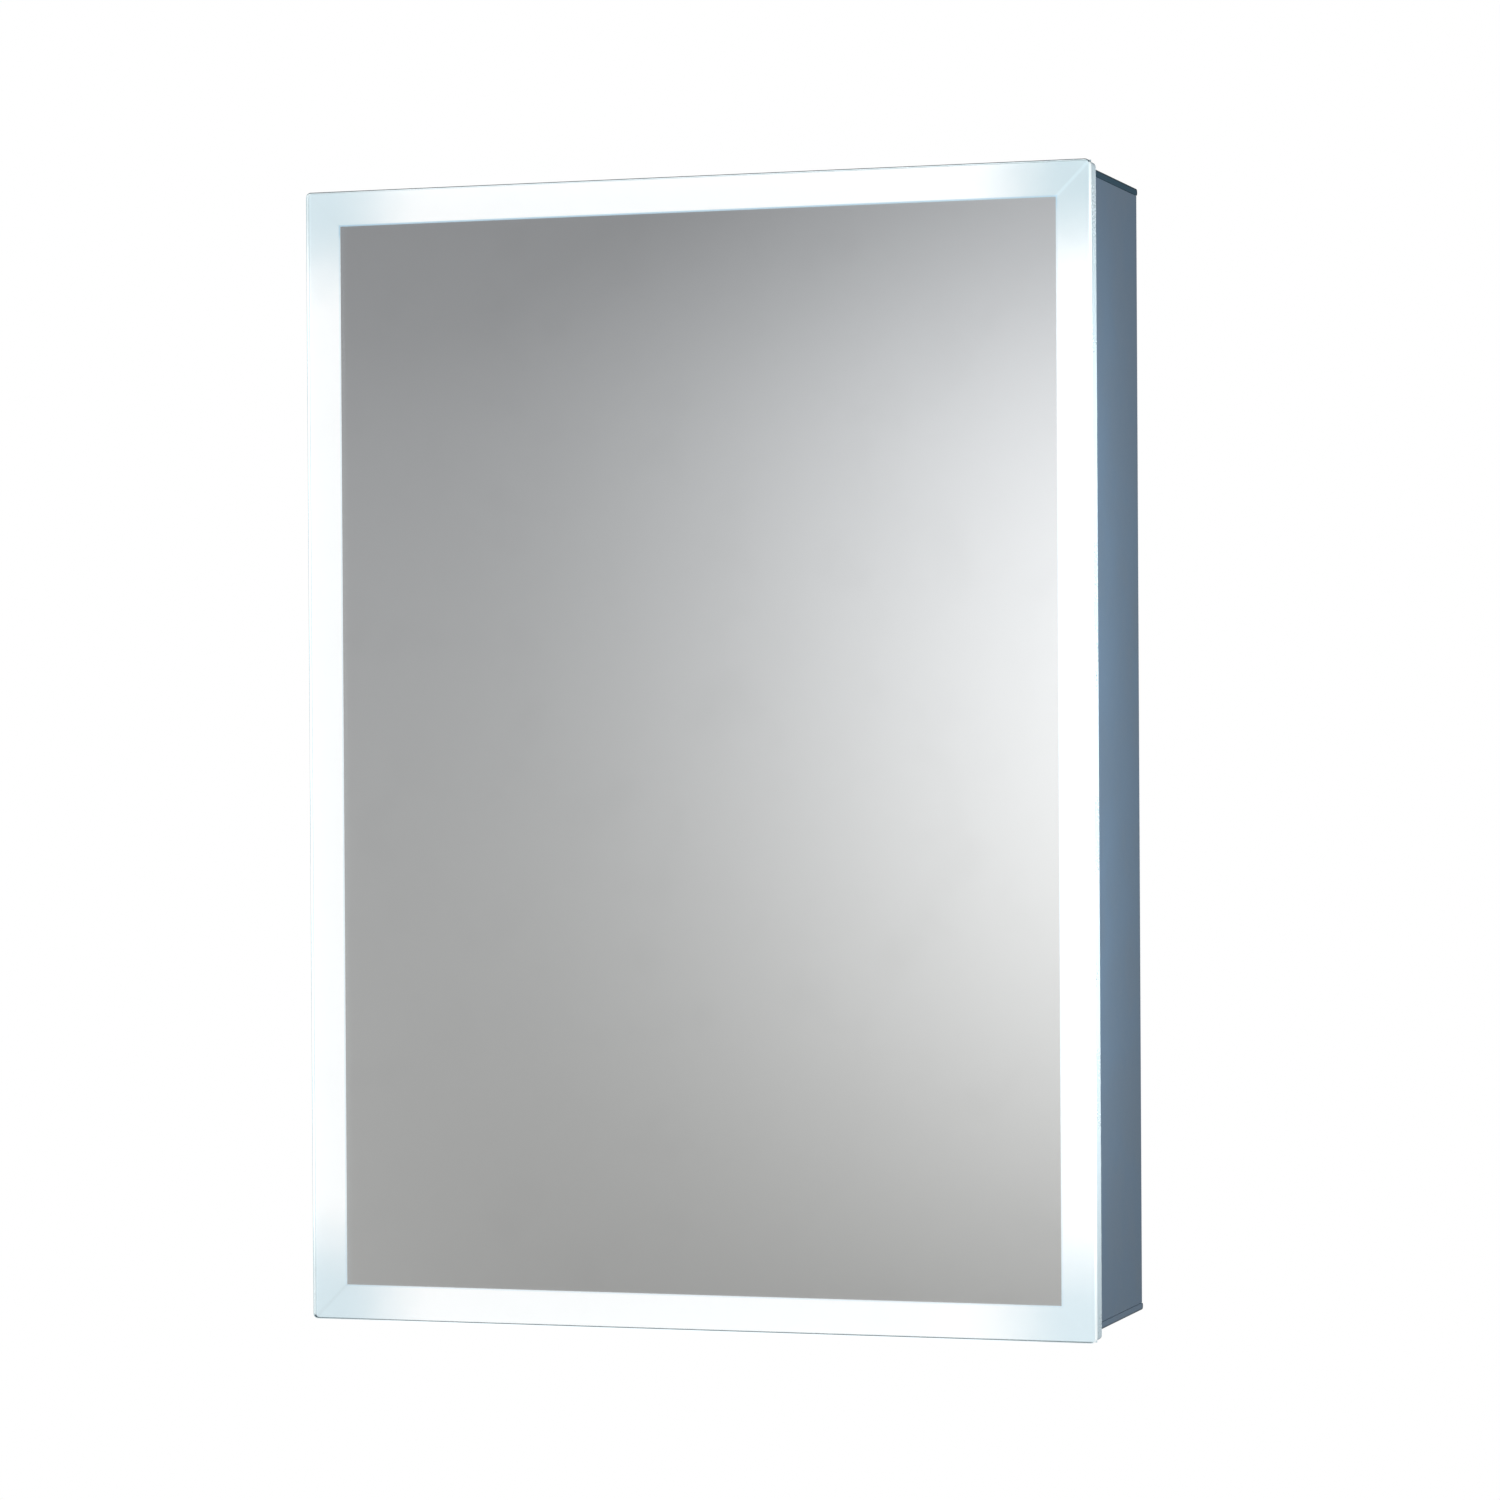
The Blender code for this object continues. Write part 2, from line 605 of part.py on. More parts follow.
def make_door_layers(finishes, door):
    """What lies between the frame profiles, from the silvered layer to the mirror inside."""
    half_x, half_z = DOOR_WIDTH / 2 - BORDER, DOOR_HEIGHT / 2 - BORDER
    front = FRAME_FRONT
    low = (-half_x, front, -DOOR_DROP - half_z)
    high = (half_x, front + BACKING, -DOOR_DROP + half_z)
    box("mirror_backing", low, high, finishes["silver"], door)
    front += BACKING + FIT
    wide, deep, tall = PAD_SIZE
    low, high = (-wide / 2, front, -tall / 2), (wide / 2, front + deep, tall / 2)
    box("demister_pad", low, high, finishes["pad"], door)
    half_x, half_z = FRAME_X - CHANNEL - 0.0004, FRAME_Z - CHANNEL - 0.0004
    low = (-half_x, DOOR_REAR - INNER_MIRROR, -DOOR_DROP - half_z)
    high = (half_x, DOOR_REAR, -DOOR_DROP + half_z)
    soften(box("inner_mirror", low, high, finishes["mirror"], door), 0.0004, 1)


def make_materials():
    return {
        "body": material("satin_aluminium", (0.20, 0.25, 0.32), 0.38, 0.85),
        "end": material("dark_aluminium", (0.04, 0.07, 0.09), 0.40, 0.8),
        "liner": material("inner_aluminium", (0.62, 0.64, 0.66), 0.35, 0.9),
        "steel": material("galvanised_steel", (0.55, 0.57, 0.58), 0.45, 0.9),
        "chrome": material("nickel", (0.72, 0.72, 0.70), 0.18, 1.0),
        "frame": material("anodised_frame", (0.55, 0.64, 0.69), 0.30, 0.3),
        "silver": material("silvering", (0.80, 0.82, 0.83), 0.04, 1.0),
        "mirror": material("inside_mirror", (0.80, 0.82, 0.83), 0.04, 1.0),
        "glass": material("float_glass", (0.80, 0.92, 0.90), 0.05),
        "diffuser": material("opal_acrylic", (0.95, 0.97, 1.0), 0.5),
        "strip": material("led_strip", (0.90, 0.90, 0.85), 0.6),
        "pad": material("heating_film", (0.55, 0.45, 0.30), 0.6),
        "white": material("white_plastic", (0.88, 0.88, 0.86), 0.4),
        "black": material("black_plastic", (0.03, 0.03, 0.035), 0.45),
        "rubber": material("grey_rubber", (0.10, 0.10, 0.10), 0.8),
        "clear": material("clear_silicone", (0.80, 0.82, 0.82), 0.3),
        "lens": material("dark_lens", (0.05, 0.02, 0.03), 0.1),
    }


def make_body(finishes):
    make_end_panel("top_panel", 1, finishes["end"])
    bottom = make_end_panel("bottom_panel", -1, finishes["body"])
    for hand, side in (("left", -1), ("right", 1)):
        make_side(f"side_panel_{hand}", side, finishes["body"])
        make_liner(f"side_liner_{hand}", side, finishes["liner"])
        make_hanger(hand, side, finishes["steel"], finishes["steel"])
    make_rear_panel(finishes["steel"])
    make_back_mirror(finishes["mirror"])
    for name, row in zip(("shelf_lower", "shelf_middle", "shelf_upper"), SHELF_ROWS):
        make_shelf(name, row, finishes["glass"])
        make_shelf_pins(name, row, finishes["chrome"])
    make_service_cover(finishes["liner"])
    make_shaver_socket(finishes["white"], finishes["white"])
    make_driver(finishes["white"], finishes["white"])
    make_grommet(finishes["rubber"])
    make_sensor(bottom, finishes["white"], finishes["lens"])
    make_bumpers(finishes["clear"])


def make_door(finishes):
    door = bpy.data.objects.new("door_axis", None)
    bpy.context.scene.collection.objects.link(door)
    door.location = (HINGE_X, HINGE_Y, 0)
    make_glass(finishes["glass"], door)
    make_door_layers(finishes, door)
    outline = frame_outline()
    for edge in ("left", "right", "top", "bottom"):
        make_light_side(edge, outline, finishes, door)
    make_catch(finishes["black"], finishes["steel"], door)
    make_hinge(finishes["chrome"], finishes["chrome"], door)


def main():
    clear_scene()
    finishes = make_materials()
    make_body(finishes)
    make_door(finishes)


main()
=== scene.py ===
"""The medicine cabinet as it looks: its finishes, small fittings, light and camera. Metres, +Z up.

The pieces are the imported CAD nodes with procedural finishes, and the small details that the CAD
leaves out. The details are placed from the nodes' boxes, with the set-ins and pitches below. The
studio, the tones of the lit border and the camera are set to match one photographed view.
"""

import math

import bmesh
import bpy
from mathutils import Matrix, Vector

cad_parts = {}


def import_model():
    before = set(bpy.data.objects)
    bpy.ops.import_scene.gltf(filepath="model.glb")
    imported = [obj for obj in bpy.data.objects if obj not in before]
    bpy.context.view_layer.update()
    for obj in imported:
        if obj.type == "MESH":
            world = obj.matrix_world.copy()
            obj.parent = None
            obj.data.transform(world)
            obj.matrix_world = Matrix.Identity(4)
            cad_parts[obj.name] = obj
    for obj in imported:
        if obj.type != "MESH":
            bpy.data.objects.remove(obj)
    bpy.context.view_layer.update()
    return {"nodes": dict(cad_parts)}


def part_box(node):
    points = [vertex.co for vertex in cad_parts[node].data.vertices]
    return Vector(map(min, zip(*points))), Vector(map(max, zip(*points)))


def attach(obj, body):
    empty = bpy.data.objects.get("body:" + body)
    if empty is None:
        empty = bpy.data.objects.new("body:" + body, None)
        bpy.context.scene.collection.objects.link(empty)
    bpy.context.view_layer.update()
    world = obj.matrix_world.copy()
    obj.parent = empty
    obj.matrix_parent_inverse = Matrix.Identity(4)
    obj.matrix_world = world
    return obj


SHELVES = ("lower", "middle", "upper")
SHARP_ANGLE = math.radians(35)
FLAT_LIMIT = 0.9  # a pane's flats have a normal this close to its axis
WEAR_RADIUS = 0.0006

# Lit border
BAND_GAP = 0.00015  # from the glass's rear face to the band
BAND_INSET = 0.0003  # from the glass's edge to the band
BAND_ROWS = 6
BAND_STEPS = 64  # along each side
LIT_RUN = (0.020, 0.088)  # how far from a corner the light starts and is full
EDGE_LIT_RUN = (0.012, 0.075)  # the same, on the polished edge of the glass
TOP_ARM = (0.318, 0.324)  # heights between which the inner line takes its strength along the top
MITRE_TONES = ((-0.06, -0.02), (0.02, 0.13))  # how bright the joints show: left, right; low, high
BAND_LEVEL = 1.06

# Screw heads, as (radius, height), and where they stand
LEAF_FACE = 0.0010  # from the panel behind a hinge leaf to the leaf's face
LEAF_SCREW = (0.0026, 0.00012)
LEAF_SCREW_INSET = 0.0055
LEAF_SCREW_PITCH = 0.074
COVER_SCREW = (0.0032, 0.0014)
COVER_SCREW_DROP = 0.010
COVER_SCREW_ROW = (-0.216, -0.072, 0.072, 0.216)
SOCKET_SCREW = (0.0022, 0.0005)
SOCKET_SCREW_INSET = 0.007
CATCH_SCREW = (0.0026, 0.0011)
CATCH_SCREW_INSET = 0.007
CATCH_SCREW_BACK = 0.004  # behind the magnet's middle
STRIKE_SCREW = (0.0020, 0.00008)
STRIKE_SCREW_INSET = 0.005

# The catch's poles
POLE_WIDTH = 0.0014
POLE_INSETS = (0.0022, 0.0036)  # of the poles' left sides, from the magnet's left and right sides
POLE_PROUD = 0.0001
POLE_DEPTH = 0.002
POLE_END = 0.004

# Rivets
RIVET_INSET = 0.0065
RIVET_PITCH = 0.08
RIVET_PROFILE = ((0.0032, 0), (0.0030, 0.00006), (0.0016, 0.0001), (0.0013, 0.00005), (0, 0.00005))

# Studio. The glow is what the shut door's mirror shows; x and z are of a ray's direction.
GLOW_MIDDLE = (-0.181, 0.021)
GLOW_SPREAD = (0.133, 0.156)
GLOW_STRENGTH = 1.30
FLOOR_RADIUS = 5.0
FLOOR_HEIGHT = -1.3
FLOOR_FADE = (2.2, 4.8)

# Camera, fitted to the photographed edges
CAMERA_TURN = (17.768, 0.507, -0.338)  # yaw, pitch and roll in degrees
CAMERA_BACK = 2.9186  # from the middle of the door's front
CAMERA_RIGHT = 0.03586
CAMERA_DOWN = 0.02482
LENS = 115.57
SHIFT_UP = 0.03


# ---------------------------------------------------------------- nodes


def node(tree, kind, inputs=None, **settings):
    """Adds a shader node. An input is a constant, or the socket that feeds it."""
    made = tree.nodes.new("ShaderNode" + kind)
    for key, value in settings.items():
        setattr(made, key, value)
    for key, value in (inputs or {}).items():
        if isinstance(value, bpy.types.NodeSocket):
            tree.links.new(value, made.inputs[key])
        else:
            made.inputs[key].default_value = value
    return made


def maths(tree, operation, a, b=0.0):
    return node(tree, "Math", {0: a, 1: b}, operation=operation).outputs[0]


def ramp(tree, value, start, end, low=0.0, high=1.0, smooth=True):
    """value's run from start to end, turned into low to high and held there."""
    made = node(
        tree,
        "MapRange",
        {"Value": value, "From Min": start, "From Max": end, "To Min": low, "To Max": high},
        interpolation_type="SMOOTHSTEP" if smooth else "LINEAR",
    )
    return made.outputs["Result"]


def blend_colours(tree, factor, a, b):
    made = node(tree, "Mix", data_type="RGBA", clamp_factor=True)
    for name, value in (("Factor_Float", factor), ("A_Color", a), ("B_Color", b)):
        socket = next(s for s in made.inputs if s.identifier == name)
        if isinstance(value, bpy.types.NodeSocket):
            tree.links.new(value, socket)
        elif name == "Factor_Float":
            socket.default_value = value
        else:
            socket.default_value = (*value, 1.0)
    return next(s for s in made.outputs if s.identifier == "Result_Color")


def places(tree, stretch=(1.0, 1.0, 1.0)):
    """The point's place on its own object, in metres, stretched along each axis."""
    coords = node(tree, "TexCoord").outputs["Object"]
    return node(tree, "Mapping", {"Vector": coords, "Scale": stretch}).outputs["Vector"]


def noise(tree, scale, detail=3.0, stretch=(1.0, 1.0, 1.0)):
    inputs = {"Vector": places(tree, stretch), "Scale": scale, "Detail": detail, "Roughness": 0.5}
    return node(tree, "TexNoise", inputs).outputs["Fac"]


def edge_mask(tree):
    """1 on the edges of a piece and 0 on its flats."""
    soft = node(tree, "Bevel", {"Radius": WEAR_RADIUS}, samples=4).outputs["Normal"]
    hard = node(tree, "NewGeometry").outputs["Normal"]
    same = node(tree, "VectorMath", {0: soft, 1: hard}, operation="DOT_PRODUCT").outputs["Value"]
    return ramp(tree, maths(tree, "SUBTRACT", 1.0, same), 0.02, 0.25)


def upward_shade_mask(tree):
    """1 on faces that slant upwards, and 0 on upright and level ones: where the painted shade goes."""
    normal = node(tree, "NewGeometry").outputs["Normal"]
    upward = node(tree, "SeparateXYZ", {0: normal}).outputs[2]
    return maths(tree, "MULTIPLY", ramp(tree, upward, 0.06, 0.35), ramp(tree, upward, 0.80, 0.97, 1.0, 0.0))


def outline_shade_mask(tree, below, above, behind):
    """How strongly the painted shade line shows: on upright faces near the panel's ends and its rear."""
    spot = node(tree, "SeparateXYZ", {0: places(tree)}).outputs
    low = ramp(tree, spot[2], below - 0.0003, below + 0.0003, 0.8, 0.0)
    high = ramp(tree, spot[2], above - 0.0003, above + 0.0003, 0.0, 0.9)
    rear = ramp(tree, spot[1], behind - 0.0012, behind + 0.0012, 0.0, 0.7)
    normal = node(tree, "SeparateXYZ", {0: node(tree, "NewGeometry").outputs["Normal"]}).outputs[2]
    upright = ramp(tree, maths(tree, "ABSOLUTE", normal), 0.5, 0.9, 1.0, 0.0)
    return maths(tree, "MULTIPLY", maths(tree, "MAXIMUM", maths(tree, "MAXIMUM", low, high), rear), upright)


def new_material(name):
    made = bpy.data.materials.new(name)
    made.use_nodes = True
    made.node_tree.nodes.clear()
    return made, made.node_tree


def close(tree, shader):
    node(tree, "OutputMaterial", {"Surface": shader})


def finish(
    name,
    light,
    dark,
    metallic,
    roughness,
    mottle=18.0,
    grain=900.0,
    stretch=(1.0, 1.0, 1.0),
    depth=0.00002,
    wear=None,
    slant_shade=None,
    line=None,
    **sockets,
):
    """A finish with a soft mottle between two colours, a fine grain, and lighter worn edges.

    Faces that slant upwards, such as a folded edge, take the given colour as a painted shade. The line
    is the colour of a painted shade along the panel's edges, then the heights below and above which
    the upright faces take it, and the place behind which they do.
    """
    made, tree = new_material(name)
    cloud = ramp(tree, noise(tree, mottle, 4.0), 0.32, 0.68)
    fine = noise(tree, grain, 2.0, stretch)
    shade = maths(tree, "ADD", maths(tree, "MULTIPLY", cloud, 0.75), maths(tree, "MULTIPLY", fine, 0.25))
    colour = blend_colours(tree, shade, dark, light)
    if wear:
        patchy = ramp(tree, noise(tree, 70.0), 0.35, 0.65)
        worn = maths(tree, "MULTIPLY", edge_mask(tree), patchy)
        colour = blend_colours(tree, worn, colour, wear)
    # Painted shade: faces that slant upwards take the dark colour given.
    if slant_shade:
        colour = blend_colours(tree, upward_shade_mask(tree), colour, slant_shade)
    # Painted shade: a dark line on upright faces along the panel's ends and its rear edge.
    if line:
        colour = blend_colours(tree, outline_shade_mask(tree, *line[1:]), colour, line[0])
    gloss = ramp(tree, maths(tree, "ADD", cloud, fine), 0.4, 1.5, *roughness, smooth=False)
    bump = node(tree, "Bump", {"Strength": 0.35, "Distance": depth, "Height": fine})
    shader = node(
        tree,
        "BsdfPrincipled",
        {
            "Base Color": colour,
            "Roughness": gloss,
            "Metallic": metallic,
            "Normal": bump.outputs["Normal"],
            **sockets,
        },
    )
    close(tree, shader.outputs[0])
    return made


def galvanised(name):
    """Zinc-coated steel, with its pattern of crystals."""
    made, tree = new_material(name)
    cells = node(tree, "TexVoronoi", {"Vector": places(tree), "Scale": 120.0, "Randomness": 1.0})
    tone = node(tree, "SeparateColor", {"Color": cells.outputs["Color"]}).outputs[0]
    cloud = noise(tree, 9.0, 3.0)
    shade = maths(tree, "ADD", maths(tree, "MULTIPLY", tone, 0.45), maths(tree, "MULTIPLY", cloud, 0.6))
    colour = blend_colours(tree, shade, (0.46, 0.48, 0.50), (0.68, 0.70, 0.72))
    gloss = ramp(tree, shade, 0.0, 1.1, 0.46, 0.26, smooth=False)
    fine = noise(tree, 1400.0, 2.0)
    bump = node(tree, "Bump", {"Strength": 0.3, "Distance": 0.00003, "Height": fine})
    inputs = {"Base Color": colour, "Roughness": gloss, "Metallic": 0.9, "Normal": bump.outputs["Normal"]}
    close(tree, node(tree, "BsdfPrincipled", inputs).outputs[0])
    return made


def silvered(name, tint):
    """A mirror: a silver layer with a trace of haze and a faint wave."""
    made, tree = new_material(name)
    haze = ramp(tree, noise(tree, 14.0, 5.0), 0.45, 0.75)
    darker = tuple(0.99 * c for c in tint)
    colour = blend_colours(tree, haze, tint, darker)
    gloss = ramp(tree, noise(tree, 40.0, 4.0), 0.3, 0.8, 0.004, 0.02, smooth=False)
    inputs = {"Base Color": colour, "Roughness": gloss, "Metallic": 1.0}
    close(tree, node(tree, "BsdfPrincipled", inputs).outputs[0])
    return made


def clear_glass(name, tint):
    made, tree = new_material(name)
    smear = ramp(tree, noise(tree, 22.0, 4.0), 0.5, 0.8)
    colour = blend_colours(tree, smear, tint, tuple(0.985 * c for c in tint))
    inputs = {"Base Color": colour, "Roughness": 0.0, "IOR": 1.52, "Transmission Weight": 1.0}
    close(tree, node(tree, "BsdfPrincipled", inputs).outputs[0])
    return made


def from_corner(tree, half):
    """How far along its side of the door a point is from the nearest corner, in metres."""
    spot = node(tree, "SeparateXYZ", {0: places(tree)}).outputs
    across = maths(tree, "SUBTRACT", half[0], maths(tree, "ABSOLUTE", spot[0]))
    upright = maths(tree, "SUBTRACT", half[1], maths(tree, "ABSOLUTE", spot[2]))
    return maths(tree, "MAXIMUM", across, upright)


def glass_edge(name, light, dark, glow, half=None):
    """The polished edge of float glass, green in the depth, with a painted glow. On the door the glow stands
    for the LED light carried in the glass; the shelves' glass has no lamp.

    With half, the door's half width and height, the glow dims towards the corners.
    """
    made, tree = new_material(name)
    shade = ramp(tree, noise(tree, 35.0, 4.0), 0.35, 0.65)
    pale = tuple(0.45 * c for c in light) if half else light
    colour = blend_colours(tree, shade, dark, pale)
    # Painted shade: edge faces that slant upwards are darkened.
    colour = blend_colours(tree, maths(tree, "MULTIPLY", upward_shade_mask(tree), 0.85), colour, (0.03, 0.05, 0.06))
    # A painted glow: on the door it stands for the LED light carried in the glass, fuller away from the
    # corners.
    painted_glow_colour = (*light, 1.0)
    if half:
        lit = ramp(tree, from_corner(tree, half), *EDGE_LIT_RUN)
        painted_glow_colour = blend_colours(tree, lit, tuple(0.62 * c for c in light), light)
        # Painted shade: the glow is darkened on upward-slanting faces too.
        painted_glow_colour = blend_colours(tree, upward_shade_mask(tree), painted_glow_colour, (0.02, 0.03, 0.04))
        # Painted shade: the glow is darker on the edge faces that look left, towards the hinge.
        normal = node(tree, "NewGeometry").outputs["Normal"]
        left_face_shade = ramp(tree, node(tree, "SeparateXYZ", {0: normal}).outputs[0], -0.6, -0.2, 0.85, 0.0)
        painted_glow_colour = blend_colours(tree, left_face_shade, painted_glow_colour, (0.10, 0.24, 0.27))
    inputs = {
        "Base Color": colour,
        "Roughness": 0.12,
        "Emission Color": painted_glow_colour,
        "Emission Strength": glow,
        "Coat Weight": 0.4,
    }
    close(tree, node(tree, "BsdfPrincipled", inputs).outputs[0])
    return made


def lit_frosting(name, border):
    """Ground glass lit from behind, dimmer towards the corners, where the light strips stop."""
    made, tree = new_material(name)
    along = node(tree, "Attribute", attribute_name="from_corner").outputs["Fac"]
    across = node(tree, "Attribute", attribute_name="from_edge").outputs["Fac"]
    corner = node(tree, "Attribute", attribute_name="mitre_tone").outputs["Fac"]
    wander = maths(tree, "MULTIPLY", noise(tree, 45.0, 3.0), 0.012)
    lit = ramp(tree, maths(tree, "ADD", along, wander), *LIT_RUN)
    spot = node(tree, "SeparateXYZ", {0: places(tree)}).outputs
    right = ramp(tree, spot[0], -0.20, 0.24)
    weak = maths(tree, "MULTIPLY", right, ramp(tree, spot[2], -0.1, 0.3))
    unlit = blend_colours(tree, weak, (0.565, 0.668, 0.714), (0.455, 0.567, 0.611))
    colour = blend_colours(tree, lit, unlit, (0.88, 0.88, 0.88))
    # A thin line along the band's inner edge, where the silvering starts, and one along its outer edge
    above = ramp(tree, spot[2], *TOP_ARM, 0.26, 0.85)
    inner = maths(tree, "MULTIPLY", ramp(tree, across, border - 0.0013, border - 0.0006), above)
    colour = blend_colours(tree, inner, colour, (0.30, 0.48, 0.60))
    strength = maths(tree, "ADD", 0.42, maths(tree, "MULTIPLY", maths(tree, "ADD", right, weak), 0.22))
    outer = maths(tree, "MULTIPLY", ramp(tree, across, 0.0005, 0.0011, 1.0, 0.0), strength)
    colour = blend_colours(tree, outer, colour, (0.06, 0.13, 0.15))
    gap = maths(tree, "ABSOLUTE", maths(tree, "SUBTRACT", along, across))
    line = maths(tree, "MULTIPLY", ramp(tree, gap, 0.0004, 0.0022, 1.0, 0.0), corner)
    level = maths(tree, "ADD", BAND_LEVEL, line)
    grit = maths(tree, "MULTIPLY", maths(tree, "SUBTRACT", noise(tree, 2600.0, 1.0), 0.5), 0.03)
    level = maths(tree, "ADD", level, grit)
    inputs = {
        "Base Color": (0.18, 0.20, 0.21, 1.0),
        "Roughness": 0.8,
        "Emission Color": colour,
        "Emission Strength": level,
    }
    close(tree, node(tree, "BsdfPrincipled", inputs).outputs[0])
    return made


# ---------------------------------------------------------------- pieces


def add_piece(name, bm, body, materials, smooth=True):
    bmesh.ops.recalc_face_normals(bm, faces=bm.faces[:])
    mesh = bpy.data.meshes.new(name)
    bm.to_mesh(mesh)
    bm.free()
    for material in materials:
        mesh.materials.append(material)
    if smooth:
        mesh.shade_smooth()
        mesh.set_sharp_from_angle(angle=SHARP_ANGLE)
    obj = bpy.data.objects.new(name, mesh)
    bpy.context.scene.collection.objects.link(obj)
    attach(obj, body)
    return obj


def facing(place, axis):
    """The frame of something that stands on place and points along axis."""
    turn = Vector((0, 0, 1)).rotation_difference(Vector(axis))
    return Matrix.Translation(place) @ turn.to_matrix().to_4x4()


def add_turned(bm, profile, place, axis, sides=24):
    """Adds a profile of (radius, height) spun about an axis through place."""
    turn = facing(place, axis)
    rings = []
    for radius, height in profile:
        count = sides if radius else 1
        angles = [2 * math.pi * i / sides for i in range(count)]
        points = [Vector((radius * math.cos(a), radius * math.sin(a), height)) for a in angles]
        rings.append([bm.verts.new(turn @ p) for p in points])
    for low, high in zip(rings, rings[1:]):
        for i in range(sides):
            j = (i + 1) % sides
            corners = [low[i % len(low)], low[j % len(low)], high[j % len(high)], high[i % len(high)]]
            bm.faces.new(list(dict.fromkeys(corners)))


def add_slab(bm, low, high, turn=None, index=0):
    """Adds a box between two corners, in turn's frame."""
    size = Vector(high) - Vector(low)
    place = Matrix.Translation((Vector(low) + Vector(high)) / 2) @ Matrix.Diagonal((*size, 1))
    made = bmesh.ops.create_cube(bm, size=1, matrix=(turn or Matrix.Identity(4)) @ place)
    for face in {f for v in made["verts"] for f in v.link_faces}:
        face.material_index = index


def add_screw(bm, place, axis, radius, height):
    """A low round head on place, with a cross in the second material: a dark inlay, the painted shade of a
    cross recess.
    """
    profile = [(0, 0), (radius, 0), (radius, height * 0.45), (radius * 0.86, height * 0.82)]
    profile += [(radius * 0.55, height), (0, height)]
    add_turned(bm, profile, place, axis)
    long, short = radius * 0.56, radius * 0.12
    for across, along in ((long, short), (short, long)):
        low, high = (-across, -along, height * 0.6), (across, along, height + 0.00002)
        add_slab(bm, low, high, facing(place, axis), 1)


def add_screws(name, spots, axis, radius, height, body, finishes):
    """One piece that holds the screw heads of one fitting."""
    bm = bmesh.new()
    for spot in spots:
        add_screw(bm, Vector(spot), axis, radius, height)
    add_piece(name, bm, body, [finishes["nickel"], finishes["recess_shade"]])


# ---------------------------------------------------------------- finishes of the CAD nodes


